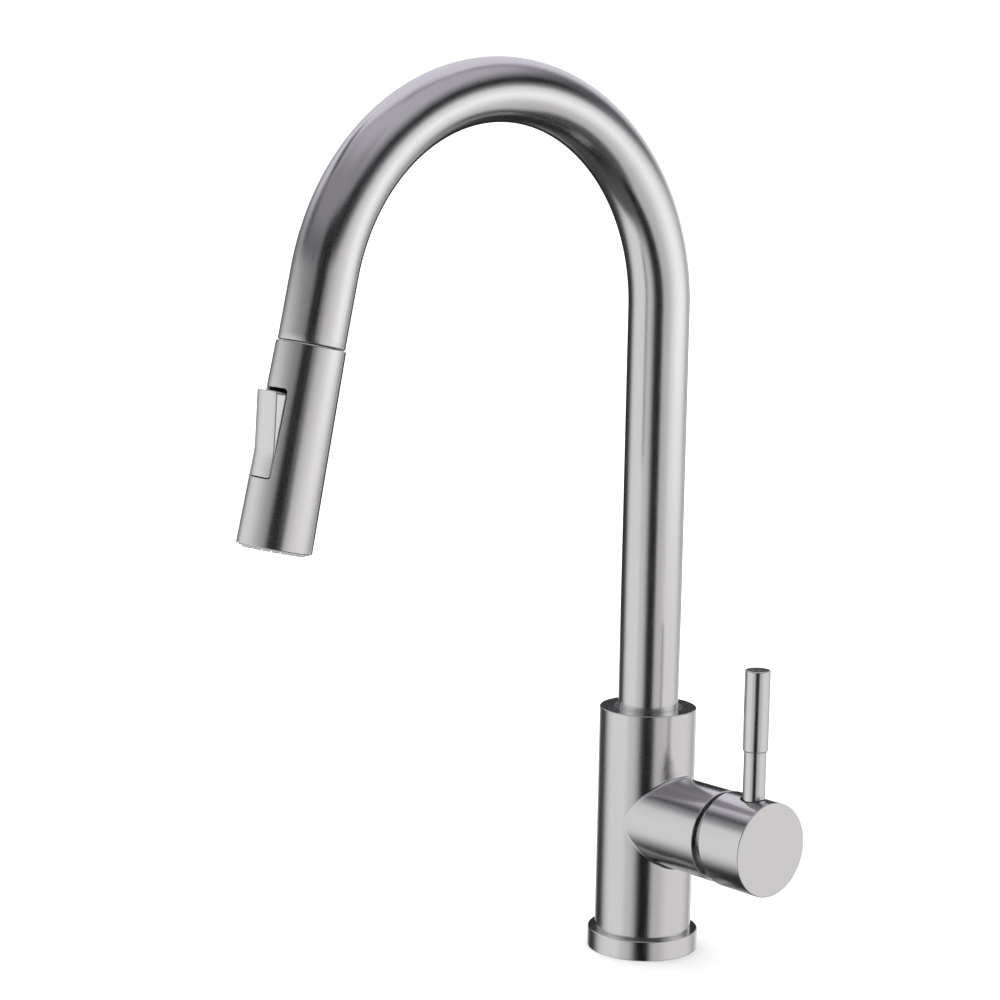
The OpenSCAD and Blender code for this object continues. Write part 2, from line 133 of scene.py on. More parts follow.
# spray head, measured down the leg from the end of the bend
HEAD_TOP_R = 14.55 * MM
HEAD_LOW_R = high("spray_shell", 0)
HEAD_LEN = 84.2 * MM
HEAD_END = HEAD_AT + HEAD_LEN
HEAD_WALL = 1.5 * MM
HEAD_IN = 13.2 * MM         # inside the shell
HEAD_INLET = 9.3 * MM       # hole at its top
FACE_HOLE = 14.65 * MM      # wider hole at its foot, which the spray face fills
FACE_DEPTH = 4.6 * MM
BUTTON_AT = HEAD_AT + 21.3 * MM
BUTTON_W = high("toggle_button", 0) - low("toggle_button", 0)
BUTTON_LEN = 35 * MM
BUTTON_END = BUTTON_AT + BUTTON_LEN
BUTTON_GAP = 0.4 * MM       # between the rocker and its window
PRESS_GAP = 1.3 * MM        # more room over its upper end, which tips
BUTTON_KINK = HEAD_AT + 48 * MM                 # where its raised wedge meets the shell
BUTTON_RISE = 4.4 * MM
TOGGLE_PIN_Y = 8.6 * MM
TOGGLE_AT = HEAD_AT + 39.7 * MM

# hose
HOSE_R = 6.5 * MM
HOSE_X = -7.5 * MM          # where the hose would cross the deck plane
HOSE_HOLE = 8 * MM
HOSE_END = 12 * MM          # where it ends at rest, from the end of the bend
PULL = joints["head_pull"]["range_m"][1]
BEND_ROWS = 150             # rings along the bend, in the tube and the hose


# ---------------------------------------------------------------- node materials

class Nodes:
    """A short way to write a node tree."""

    def __init__(self, tree):
        self.tree = tree
        tree.nodes.clear()

    def add(self, kind, **settings):
        node = self.tree.nodes.new(kind)
        for key, value in settings.items():
            setattr(node, key, value)
        return node

    def link(self, source, target):
        self.tree.links.new(source, target)

    def put(self, value, socket):
        if isinstance(value, bpy.types.NodeSocket):
            self.link(value, socket)
        else:
            socket.default_value = value

    def math(self, operation, a, b=0.0):
        node = self.add("ShaderNodeMath", operation=operation)
        self.put(a, node.inputs[0])
        self.put(b, node.inputs[1])
        return node.outputs[0]

    def ramp(self, value, low_in, high_in, low_out=0.0, high_out=1.0):
        """Smooth step from low_out to high_out."""
        node = self.add("ShaderNodeMapRange", interpolation_type="SMOOTHSTEP")
        for socket, item in zip(node.inputs, (value, low_in, high_in, low_out, high_out)):
            self.put(item, socket)
        return node.outputs[0]

    def mix_color(self, factor, a, b):
        # inputs 6 and 7 and output 2 are a mix node's colours
        node = self.add("ShaderNodeMix", data_type="RGBA")
        self.put(factor, node.inputs[0])
        self.put(a, node.inputs[6])
        self.put(b, node.inputs[7])
        return node.outputs[2]

    def noise(self, vector, scale, detail=2.0, roughness=0.5):
        node = self.add("ShaderNodeTexNoise")
        self.link(vector, node.inputs["Vector"])
        node.inputs["Scale"].default_value = scale
        node.inputs["Detail"].default_value = detail
        node.inputs["Roughness"].default_value = roughness
        return node.outputs["Fac"]

    def scaled(self, vector, scale):
        node = self.add("ShaderNodeMapping")
        self.link(vector, node.inputs["Vector"])
        node.inputs["Scale"].default_value = scale
        return node.outputs["Vector"]

    def bump(self, height, distance):
        node = self.add("ShaderNodeBump")
        node.inputs["Strength"].default_value = 1.0
        node.inputs["Distance"].default_value = distance
        self.link(height, node.inputs["Height"])
        return node.outputs["Normal"]


def new_material(name):
    material = bpy.data.materials.new(name)
    material.use_nodes = True
    nodes = Nodes(material.node_tree)
    shader = nodes.add("ShaderNodeBsdfPrincipled")
    output = nodes.add("ShaderNodeOutputMaterial")
    nodes.link(shader.outputs[0], output.inputs["Surface"])
    coords = nodes.add("ShaderNodeTexCoord")
    return material, nodes, shader, coords


def toned(color, factor):
    return [min(1, c * factor) for c in color] + [1]


def brushed_metal(name, color, roughness, grain, space="UV"):
    """Metal brushed lengthwise: fine streaks across, long along. grain is streaks per metre."""
    material, nodes, shader, coords = new_material(name)
    source = coords.outputs[space]
    streaks = nodes.noise(nodes.scaled(source, (grain, grain / 90, grain / 90)), 1.0, 3.0, 0.6)
    clouds = nodes.noise(nodes.scaled(source, (45, 25, 45)), 1.0, 2.0)
    tone = nodes.math("MULTIPLY_ADD", streaks, 0.10)
    tone.node.inputs[2].default_value = 0.90
    product = nodes.mix_color(1.0, nodes.mix_color(clouds, toned(color, 0.95),
                                                   toned(color, 1.03)), tone)
    product.node.blend_type = "MULTIPLY"
    nodes.link(product, shader.inputs["Base Color"])
    nodes.link(nodes.ramp(streaks, 0.25, 0.75, roughness - 0.04, roughness + 0.05),
               shader.inputs["Roughness"])
    nodes.link(nodes.bump(streaks, 0.012 * MM), shader.inputs["Normal"])
    shader.inputs["Metallic"].default_value = 1.0
    return material


def turned_metal(name, color, roughness):
    """Plain machined metal with fine rings."""
    material, nodes, shader, coords = new_material(name)
    rings = nodes.noise(nodes.scaled(coords.outputs["Object"], (900, 900, 5200)), 1.0, 2.0)
    stain = nodes.noise(coords.outputs["Object"], 160.0, 3.0)
    nodes.link(nodes.mix_color(stain, toned(color, 0.85), toned(color, 1)),
               shader.inputs["Base Color"])
    nodes.link(nodes.ramp(rings, 0.3, 0.7, roughness - 0.05, roughness + 0.06),
               shader.inputs["Roughness"])
    nodes.link(nodes.bump(rings, 0.01 * MM), shader.inputs["Normal"])
    shader.inputs["Metallic"].default_value = 1.0
    return material


def moulded(name, color, roughness, pit=0.03, specular=0.5):
    """Moulded plastic, rubber or ceramic with a fine skin, pitted pit millimetres deep."""
    material, nodes, shader, coords = new_material(name)
    fine = nodes.noise(coords.outputs["Object"], 2600.0, 3.0)
    broad = nodes.noise(coords.outputs["Object"], 90.0, 2.0)
    nodes.link(nodes.mix_color(broad, toned(color, 0.9), toned(color, 1.06)),
               shader.inputs["Base Color"])
    nodes.link(nodes.ramp(fine, 0.3, 0.7, roughness - 0.06, roughness + 0.06),
               shader.inputs["Roughness"])
    nodes.link(nodes.bump(fine, pit * MM), shader.inputs["Normal"])
    shader.inputs["Specular IOR Level"].default_value = specular
    return material


def woven_sleeve(name, strands=12, lay=6 * MM):
    """Grey nylon braid: two sets of strands wind round the hose against each other, once
    in strands times lay. UVs are turns around and metres along."""
    material, nodes, shader, coords = new_material(name)
    split = nodes.add("ShaderNodeSeparateXYZ")
    nodes.link(coords.outputs["UV"], split.inputs[0])
    across = nodes.math("MULTIPLY", split.outputs["X"], strands * 2 * math.pi)
    along = nodes.math("MULTIPLY", split.outputs["Y"], 2 * math.pi / lay)
    left = nodes.math("SINE", nodes.math("ADD", across, along))
    right = nodes.math("SINE", nodes.math("SUBTRACT", across, along))
    weave = nodes.math("MAXIMUM", left, right)
    nodes.link(nodes.mix_color(nodes.ramp(weave, -0.2, 1.0), (0.05, 0.05, 0.055, 1),
                               (0.42, 0.43, 0.45, 1)), shader.inputs["Base Color"])
    nodes.link(nodes.bump(weave, 0.25 * MM), shader.inputs["Normal"])
    shader.inputs["Roughness"].default_value = 0.45
    shader.inputs["Sheen Weight"].default_value = 0.15
    return material


NICKEL_COLOR = (0.73, 0.722, 0.725)
materials = {
    "nickel": brushed_metal("brushed_nickel", NICKEL_COLOR, 0.17, 5200),
    "nickel_plastic": brushed_metal("plated_rocker", (0.77, 0.76, 0.76), 0.24, 4200),
    "spring_steel": turned_metal("spring_steel", (0.50, 0.50, 0.51), 0.30),
    "brass": turned_metal("machined_brass", (0.80, 0.62, 0.30), 0.28),
    "black_rubber": moulded("black_rubber", (0.025, 0.025, 0.026), 0.62, 0.05, 0.35),
    "grey_rubber": moulded("grey_rubber", (0.40, 0.40, 0.41), 0.55, 0.05, 0.4),
    "grey_plastic": moulded("grey_plastic", (0.42, 0.42, 0.43), 0.4),
    "hose_braid": woven_sleeve("hose_braid"),
    "dark_plastic": moulded("dark_plastic", (0.045, 0.045, 0.05), 0.42),
    "white_plastic": moulded("white_plastic", (0.52, 0.52, 0.505), 0.38),
    "blue_plastic": moulded("blue_plastic", (0.05, 0.16, 0.42), 0.35),
    "disc_ceramic": moulded("lapped_ceramic", (0.56, 0.545, 0.51), 0.22, 0.01),
}
# for CAD nodes, which have no UVs
cad_nickel = brushed_metal("cad_nickel", NICKEL_COLOR, 0.24, 3000, space="Object")


def finish_cad_nodes():
    """Every CAD node that stays gets its slot's finish."""
    for entry in frame["record"]["subparts"]:
        node, slot = frame["nodes"][entry["node"]], entry["material_slot"]
        finish = cad_nickel if slot == "nickel" else materials[slot]
        node.data.materials.clear()
        node.data.materials.append(finish)


# ---------------------------------------------------------------- mesh helpers

def make_object(name, verts, faces, uvs=None):
    """A smooth-shaded object. uvs is one pair per vertex."""
    mesh = bpy.data.meshes.new(name)
    mesh.from_pydata([tuple(v) for v in verts], [], faces)
    if uvs is not None:
        layer = mesh.uv_layers.new(name="UVMap")
        for loop in mesh.loops:
            layer.data[loop.index].uv = uvs[loop.vertex_index]
    mesh.polygons.foreach_set("use_smooth", [True] * len(mesh.polygons))
    obj = bpy.data.objects.new(name, mesh)
    bpy.context.scene.collection.objects.link(obj)
    return obj


def finish_piece(obj, body, slot, node):
    """Gives a visual piece its body and its material, and hides the CAD node it stands for."""
    obj.data.materials.clear()
    obj.data.materials.append(materials[slot])
    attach(obj, body)
    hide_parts(node)


def full_turn(count=AROUND):
    """Equally spaced angles of a whole turn."""
    return np.linspace(0, 2 * math.pi, count, endpoint=False)


def grid(rows, close_rows=False, close_cols=True):
    """Points and quads over a list of equally long rows of points."""
    faces = []
    count, width = len(rows), len(rows[0])
    for i in range(count if close_rows else count - 1):
        for j in range(width if close_cols else width - 1):
            k, m = (i + 1) % count, (j + 1) % width
            faces.append((i * width + j, i * width + m, k * width + m, k * width + j))
    return [p for row in rows for p in row], faces


def rounded(corners, steps=5):
    """Profile points (r, z) from corners (r, z, radius), each rounded by an arc."""
    out = []
    for i, (r, z, radius) in enumerate(corners):
        here = Vector((r, z))
        if radius <= 0 or i in (0, len(corners) - 1):
            out.append((r, z))
            continue
        before = Vector(corners[i - 1][:2]) - here
        after = Vector(corners[i + 1][:2]) - here
        half = before.angle(after) / 2
        reach = radius / math.tan(half)
        start, end = here + before.normalized() * reach, here + after.normalized() * reach
        centre = here + (before.normalized() + after.normalized()).normalized() \
            * (radius / math.sin(half))
        if before.length > reach + 2 * SUPPORT:
            out.append(tuple(start + before.normalized() * SUPPORT))
        a, b = start - centre, end - centre
        turn = a.angle(b)
        for k in range(steps + 1):
            t = k / steps
            p = (a * math.sin((1 - t) * turn) + b * math.sin(t * turn)) / math.sin(turn)
            out.append(tuple(centre + p))
        if after.length > reach + 2 * SUPPORT:
            out.append(tuple(end + after.normalized() * SUPPORT))
    return out


def lathe(name, profile, place=Matrix.Identity(4), closed=False, segments=AROUND):
    """Turns a profile of (r, z) about z, then places it. UVs are metres around and along."""
    rows, uvs, along = [], [], 0.0
    for i, (r, z) in enumerate(profile):
        if i:
            along += math.dist(profile[i - 1], profile[i])
        rows.append([(r * math.cos(a), r * math.sin(a), z) for a in full_turn(segments)])
        reach = max(r, 5 * MM)      # so that the grain does not crowd near the axis
        uvs += [(reach * a, along) for a in full_turn(segments)]
    verts, faces = grid(rows, close_rows=closed)
    obj = make_object(name, [place @ Vector(v) for v in verts], faces, uvs)
    return tidy_mesh(obj)


def tidy_mesh(obj):
    """Joins doubled points and turns every face outwards."""
    bm = bmesh.new()
    bm.from_mesh(obj.data)
    bmesh.ops.remove_doubles(bm, verts=bm.verts, dist=1e-7)
    bmesh.ops.dissolve_degenerate(bm, dist=1e-8, edges=bm.edges)
    bmesh.ops.recalc_face_normals(bm, faces=bm.faces)
    bm.to_mesh(obj.data)
    bm.free()
    obj.data.set_sharp_from_angle(angle=SHARP)
    return obj


def cut(obj, *cutters):
    """Takes the cutters away from obj and deletes them."""
    for cutter in cutters:
        modifier = obj.modifiers.new("cut", "BOOLEAN")
        modifier.operation = "DIFFERENCE"
        modifier.solver = "EXACT"
        modifier.object = cutter
    bpy.context.view_layer.update()
    graph = bpy.context.evaluated_depsgraph_get()
    mesh = bpy.data.meshes.new_from_object(obj.evaluated_get(graph))
    obj.modifiers.clear()
    obj.data = mesh
    obj.data.set_sharp_from_angle(angle=SHARP)
    for cutter in cutters:
        bpy.data.objects.remove(cutter)


def true_normals(obj, normal_at):
    """Gives the loops on a known surface that surface's exact normals. normal_at(point) is
    None off the surface, and a face that stands far off the normal keeps its own."""
    mesh = obj.data
    mesh.polygons.foreach_set("use_smooth", [True] * len(mesh.polygons))
    normals = [Vector(n.vector) for n in mesh.corner_normals]
    for face in mesh.polygons:
        for index in face.loop_indices:
            exact = normal_at(mesh.vertices[mesh.loops[index].vertex_index].co)
            if exact is not None and abs(exact.dot(face.normal)) > 0.97:
                normals[index] = exact if exact.dot(face.normal) > 0 else -exact
    mesh.normals_split_custom_set(normals)


def skin(hole, border, steps, lift):
    """Quads between a hole's outline and a border round it, both closed and equally long,
    in a flat domain that lift turns into space. Returns points, faces and flat places."""
    flat = []
    for i in range(steps + 1):
        t = (i / steps) ** 1.5      # the rows crowd near the hole
        flat.append([(h[0] + (b[0] - h[0]) * t, h[1] + (b[1] - h[1]) * t)
                     for h, b in zip(hole, border)])
    verts, faces = grid([[lift(*p) for p in row] for row in flat])
    return verts, faces, [p for row in flat for p in row]


def step_angles(start, end):
    """Angles from start to end in the steps of a turned piece, so that edges meet."""
    return np.linspace(start, end, round((end - start) * AROUND / (2 * math.pi)) + 1)


def round_outline(width, height, radius, arc=8, side=48):
    """Closed outline of a rectangle with round corners. It starts in the middle of the corner
    at +x +y and goes on to +x -y, so that quarters of its points end in mid corner."""
    corners = [(1, 1), (1, -1), (-1, -1), (-1, 1)]
    half = (width / 2 - radius, height / 2 - radius)
    points = []
    for k, (sx, sy) in enumerate(corners):
        nx, ny = corners[(k + 1) % 4]
        centre = (sx * half[0], sy * half[1])
        after = (nx * half[0], ny * half[1])
        start = math.atan2(sy, sx)
        for i in range(arc // 2):
            a = start - math.pi / 2 * i / arc
            points.append((centre[0] + radius * math.cos(a), centre[1] + radius * math.sin(a)))
        a = start - math.pi / 4
        out = (radius * math.cos(a), radius * math.sin(a))
        for i in range(side):
            t = i / side
            points.append((centre[0] + (after[0] - centre[0]) * t + out[0],
                           centre[1] + (after[1] - centre[1]) * t + out[1]))
        for i in range(arc // 2):
            b = a - math.pi / 2 * i / arc
            points.append((after[0] + radius * math.cos(b), after[1] + radius * math.sin(b)))
    return points


def box_outline(corners, per_side):
    """Closed outline through four corners with equally many points on each side."""
    points = []
    for k in range(4):
        a, b = corners[k], corners[(k + 1) % 4]
        points += [(a[0] + (b[0] - a[0]) * i / per_side, a[1] + (b[1] - a[1]) * i / per_side)
                   for i in range(per_side)]
    return points


def rest_of_wall(name, half, heights, lift, reach):
    """What a patch from -half to half leaves of an unrolled wall. reach times the angle is
    metres around, for the UVs."""
    columns = step_angles(half, 2 * math.pi - half)
    verts, faces = grid([[lift(a, h) for a in columns] for h in heights], close_cols=False)
    return make_object(name, verts, faces, [(reach * a, h) for h in heights for a in columns])


def join(name, *parts):
    """Joins the parts' meshes in one new object and deletes the parts."""
    bm = bmesh.new()
    for part in parts:
        bm.from_mesh(part.data)
        bpy.data.objects.remove(part)
    mesh = bpy.data.meshes.new(name)
    bm.to_mesh(mesh)
    bm.free()
    obj = bpy.data.objects.new(name, mesh)
    bpy.context.scene.collection.objects.link(obj)
    return tidy_mesh(obj)


# Leg frame: z runs down the leg from the end of the bend, y points away from the riser
LEG = Matrix.Translation(ARC_END) @ Matrix((
    (1, LEG_OUT.x, LEG_DIR.x, 0),
    (0, LEG_OUT.y, LEG_DIR.y, 0),
    (0, LEG_OUT.z, LEG_DIR.z, 0),
    (0, 0, 0, 1)))


# ---------------------------------------------------------------- body and base

def fillet_rings(steps=8):
    """Rings of a ball rolled round the boss where it meets the body, from the boss to the
    body, turned about the boss axis from its top."""
    rings = [[] for _ in range(steps + 1)]
    for a in full_turn(2 * AROUND):
        centre = (BOSS_R + FILLET) * Vector((0, math.sin(a), math.cos(a)))
        centre.x = math.sqrt((BODY_R + FILLET) ** 2 - centre.y ** 2)
        to_boss = Vector((0, -math.sin(a), -math.cos(a)))
        to_body = -Vector((centre.x, centre.y, 0)).normalized()
        turn = to_boss.angle(to_body)
        for k, ring in enumerate(rings):
            t = k / steps
            d = to_boss * math.sin((1 - t) * turn) + to_body * math.sin(t * turn)
            ring.append(centre + d * FILLET / math.sin(turn) + Vector((0, 0, BOSS_Z)))
    return rings


def body_casting():
    """The body with its boss, and the fillet between them."""
    rings = fillet_rings()
    front = rounded([(BOSS_BORE, BOSS_END - 12 * MM, 0), (BOSS_BORE, BOSS_END, 0.2 * MM),
                     (BOSS_R, BOSS_END, 0.45 * MM), (BOSS_R, BOSS_END - 3 * MM, 0)])
    boss = [[Vector((x, r * math.sin(a), BOSS_Z + r * math.cos(a)))
             for a in full_turn(2 * AROUND)] for r, x in front]
    last = boss[-1]
    boss += [[p.lerp(q, k / 4) for p, q in zip(last, rings[0])] for k in (1, 2, 3)]
    verts, faces = grid(boss + rings)
    sleeve = make_object("boss_sleeve", verts, faces,
                         [(BOSS_R * math.atan2(v.y, v.z - BOSS_Z), v.x) for v in verts])

    # The wall is unrolled as (angle, height): a patch with the fillet's hole, then the rest
    foot, head, half = BASE_H + MM, BODY_TOP - MM, math.pi / 2
    hole = [(math.atan2(p.y, p.x), p.z) for p in rings[-1]]
    border = box_outline([(half, head), (half, foot), (-half, foot), (-half, head)],
                         len(hole) // 4)
    border = border[-len(hole) // 8:] + border[:-len(hole) // 8]

    def lift(angle, z):
        return BODY_R * math.cos(angle), BODY_R * math.sin(angle), z

    verts, faces, flat = skin(hole, border, 26, lift)
    patch = make_object("wall_patch", verts, faces, [(BODY_R * a, z) for a, z in flat])
    rest = rest_of_wall("wall_rest", half, np.linspace(foot, head, 12), lift, BODY_R)

    upper = lathe("body_top", rounded(
        [(BODY_R, head, 0), (BODY_R, BODY_TOP, 0.4 * MM), (TOP_BORE, BODY_TOP, 0.05 * MM),
         (TOP_BORE, BODY_TOP - TOP_DEPTH, 0)]))
    lower = lathe("body_foot", rounded(
        [(BODY_R, foot, 0), (BODY_R, BASE_H, 0.15 * MM), (SPIGOT_R, BASE_H, 0),
         (SPIGOT_R, 0, 0.3 * MM), (SHANK_R, 0, 0.4 * MM), (SHANK_R, SHANK_DEPTH, 0),
         (HOSE_HOLE, SHANK_DEPTH, 0)]))
    body = join("body_casting", sleeve, patch, rest, upper, lower)
    true_normals(body, lambda p: Vector((p.x, p.y, 0)).normalized()
                 if abs(math.hypot(p.x, p.y) - BODY_R) < 2e-6 else None)
    finish_piece(body, "base", "nickel", "valve_body")


def base_flange():
    """The base ring, with room for the gasket underneath."""
    gasket_in, gasket_out, gasket_top = SPIGOT_R + MM, BASE_R - 1.1 * MM, 2 * MM
    inner = SPIGOT_R + 0.05 * MM
    profile = rounded([(inner, 0, 0), (inner, BASE_H, 0.2 * MM), (BASE_R, BASE_H, 0.55 * MM),
                       (BASE_R, 0, 0.25 * MM), (gasket_out, 0, 0), (gasket_out, gasket_top, 0),
                       (gasket_in, gasket_top, 0), (gasket_in, 0, 0)])
    ring = lathe("base_flange", profile, closed=True)
    finish_piece(ring, "base", "nickel", "base_ring")


# ---------------------------------------------------------------- spout and hose

def route_frame(along):
    """Place on the tube's centre line and its outward side. along is metres from the deck;
    the bend runs from RISER_TOP to BEND_END."""
    bend = BEND_R * BEND_ANGLE
    turn = min(max(along - RISER_TOP, 0.0), bend) / BEND_R
    way = Vector((0, -math.sin(turn), math.cos(turn)))
    out = way.cross(Vector((1, 0, 0)))
    place = Vector((0, -BEND_R, RISER_TOP)) + out * BEND_R
    if along < RISER_TOP:
        place.z = along
    elif along > RISER_TOP + bend:
        place += way * (along - RISER_TOP - bend)
    return place, out


def route_ring(along, radius, count=AROUND):
    """A circle of points round the centre line, from its outward side."""
    place, out = route_frame(along)
    return [place + Vector((radius * math.sin(a), 0, 0)) + out * (radius * math.cos(a))
            for a in full_turn(count)]


def spout_pipe():
    """The tube: its outside, the rounded tip and the inside back to the foot."""
    tip = BEND_END + LEG_LEN
    edge = 0.5 * MM
    stations = ([TUBE_FOOT + 0.4 * MM, *np.linspace(TUBE_FOOT + MM, RISER_TOP, 24)]
                + list(np.linspace(RISER_TOP, BEND_END, BEND_ROWS))[1:]
                + list(np.linspace(BEND_END, tip - edge, 12))[1:])
    rim = [(tip - edge + edge * math.sin(a), TUBE_R - edge + edge * math.cos(a))
           for a in np.linspace(0, math.pi / 2, 6)]
    rows = [(s, TUBE_R) for s in stations] + rim + [(tip, TUBE_IN + 0.05 * MM)]
    rows += [(s, TUBE_IN) for s in reversed(stations)] + [(TUBE_FOOT, TUBE_IN),
                                                          (TUBE_FOOT, TUBE_R)]
    verts, faces = grid([route_ring(s, r) for s, r in rows], close_rows=True)
    uvs = [(TUBE_R * 2 * math.pi * min(j, AROUND - j) / AROUND, s)
           for s, _ in rows for j in range(AROUND)]
    pipe = tidy_mesh(make_object("spout_pipe", verts, faces, uvs))
    finish_piece(pipe, "spout", "nickel", "spout_tube")


def braided_hose():
    """The pull-out hose: one piece fills the spout and stays, a short one runs on from the end of the bend down
    the leg."""
    count = 40
    # it slants up from the shank's hole to the tube's foot, then follows the tube
    knee = Vector((0, 0, TUBE_FOOT))
    start = Vector((HOSE_X, 0, 0)).lerp(knee, 0.125)
    rows, uvs, travelled = [], [], 0.0
    before = start
    for place in [start.lerp(knee, t) for t in np.linspace(0, 0.97, 10)]:
        travelled += (place - before).length
        before = place
        rows.append([place + Vector((HOSE_R * math.sin(a), HOSE_R * math.cos(a), 0))
                     for a in full_turn(count)])
        uvs += [(j / count, travelled) for j in range(count)]
    for along in np.linspace(TUBE_FOOT + 3 * MM, BEND_END, BEND_ROWS):
        rows.append(route_ring(along, HOSE_R, count))
        uvs += [(j / count, along - TUBE_FOOT + travelled) for j in range(count)]
    verts, faces = grid(rows)
    inner = make_object("hose_in_spout", verts, faces, uvs)
    finish_piece(inner, "spout", "hose_braid", "pull_hose")
    rows, uvs = [], []
    for t in np.linspace(0, 1, 90):
        rows.append(route_ring(BEND_END + t * HOSE_END, HOSE_R, count))
        # V runs along the piece as a smooth step up to PULL, meant to keep the braid even with the hose out
        drawn = t * t * (3 - 2 * t) * PULL
        uvs += [(j / count, drawn) for j in range(count)]
    verts, faces = grid(rows)
    leg = make_object("hose_in_leg", verts, faces, uvs)
    leg.data.materials.append(materials["hose_braid"])
    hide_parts("pull_hose")
    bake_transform(leg)


# ---------------------------------------------------------------- handle

def rim_x(z):
    """Where the hub's oblique rear rim lies at a height above the boss axis."""
    return RIM_X - z * math.tan(RIM_TILT)


def hub_cup():
    """The hub: a cup round the boss axis with a slanted rear rim, a core inside, the lever's
    hole on top and the plug's hole below."""
    inner, bottom = HUB_R - HUB_WALL, HUB_FACE - HUB_FRONT
    outside = rounded([(0, HUB_FACE, 0), (HUB_R, HUB_FACE, 0.45 * MM), (HUB_R, RIM_X, 0)], 4)
    inside = rounded([(inner, RIM_X, 0), (inner, bottom, 1 * MM), (CORE_R, bottom, 0),
                      (CORE_R, CORE_X, 0.3 * MM), (CORE_BORE, CORE_X, 0),
                      (CORE_BORE, bottom, 0), (0, bottom, 0)])

    def ring(r, x, slant=False):
        points = [Vector((x, r * math.sin(a), r * math.cos(a))) for a in full_turn()]
        for p in points if slant else []:
            p.x += rim_x(p.z) - RIM_X
        return [p + Vector((0, 0, BOSS_Z)) for p in points]

    lip = 0.3 * MM
    rear = [(HUB_R - lip + lip * math.cos(a), RIM_X + lip - lip * math.sin(a))
            for a in np.linspace(0, math.pi / 2, 5)] + [(inner, RIM_X)]
    front = [p for p in outside if p[1] > RIM_X + 10 * MM]
    rows = [ring(*p) for p in front]
    rows += [ring(HUB_R, RIM_X + 1 * MM, True)] + [ring(*p, True) for p in rear]
    rows += [ring(*p) for p in inside[1:]]
    verts, faces = grid(rows)
    cup = make_object("hub_cup", verts, faces,
                      [(HUB_R * math.atan2(v.y, v.z - BOSS_Z), v.x) for v in verts])
    tidy_mesh(cup)

    def drill(radius, start, end, segments):
        return lathe("drill", [(0, start), (radius, start), (radius, end), (0, end)],
                     Matrix.Translation((LEVER_X, 0, BOSS_Z)), segments=segments)

    cut(cup, drill(LEVER_WELL, 18 * MM, 30 * MM, 64), drill(PLUG_HOLE, -30 * MM, -17 * MM, 48))
    true_normals(cup, lambda p: Vector((0, p.y, p.z - BOSS_Z)).normalized()
                 if abs(math.hypot(p.y, p.z - BOSS_Z) - HUB_R) < 3e-6 else None)
    finish_piece(cup, "handle", "nickel", "handle_hub")


def lever_pieces():
    """The lever's rod and the grip that covers its upper part."""
    place = Matrix.Translation((LEVER_X, 0, 0))
    foot, shoulder = BOSS_Z + PIN_LOW, BOSS_Z + PIN_HIGH
    neck, neck_low, neck_top = LEVER_R - GRIP_WALL, GRIP_LOW - 0.3 * MM, LEVER_TOP - 4 * MM
    rod = lathe("lever_rod", rounded(
        [(0, foot, 0), (LEVER_PIN, foot, 0.4 * MM), (LEVER_PIN, shoulder, 0),
         (LEVER_R, shoulder, 0.3 * MM), (LEVER_R, neck_low, 0), (neck, neck_low, 0),
         (neck, neck_top, 0), (0, neck_top, 0)]), place, segments=96)
    finish_piece(rod, "handle", "nickel", "lever_stem")
    sleeve = lathe("lever_sleeve", rounded(
        [(neck, GRIP_LOW + 5 * MM, 0), (neck, GRIP_LOW, 0), (GRIP_R, GRIP_LOW, 0.45 * MM),
         (GRIP_R, LEVER_TOP, 0.5 * MM), (0, LEVER_TOP, 0)]), place, segments=96)
    finish_piece(sleeve, "handle", "nickel", "lever_grip")


# ---------------------------------------------------------------- spray head

def shell_r(s):
    """The shell's outer radius at a distance down the leg."""
    return HEAD_TOP_R + (HEAD_LOW_R - HEAD_TOP_R) * (s - HEAD_AT) / HEAD_LEN


def on_shell(angle, s, depth=0.0):
    """A point of the shell: the angle is from the outward side towards the row's +X."""
    r = shell_r(s) - depth
    return LEG @ Vector((r * math.sin(angle), r * math.cos(angle), s))


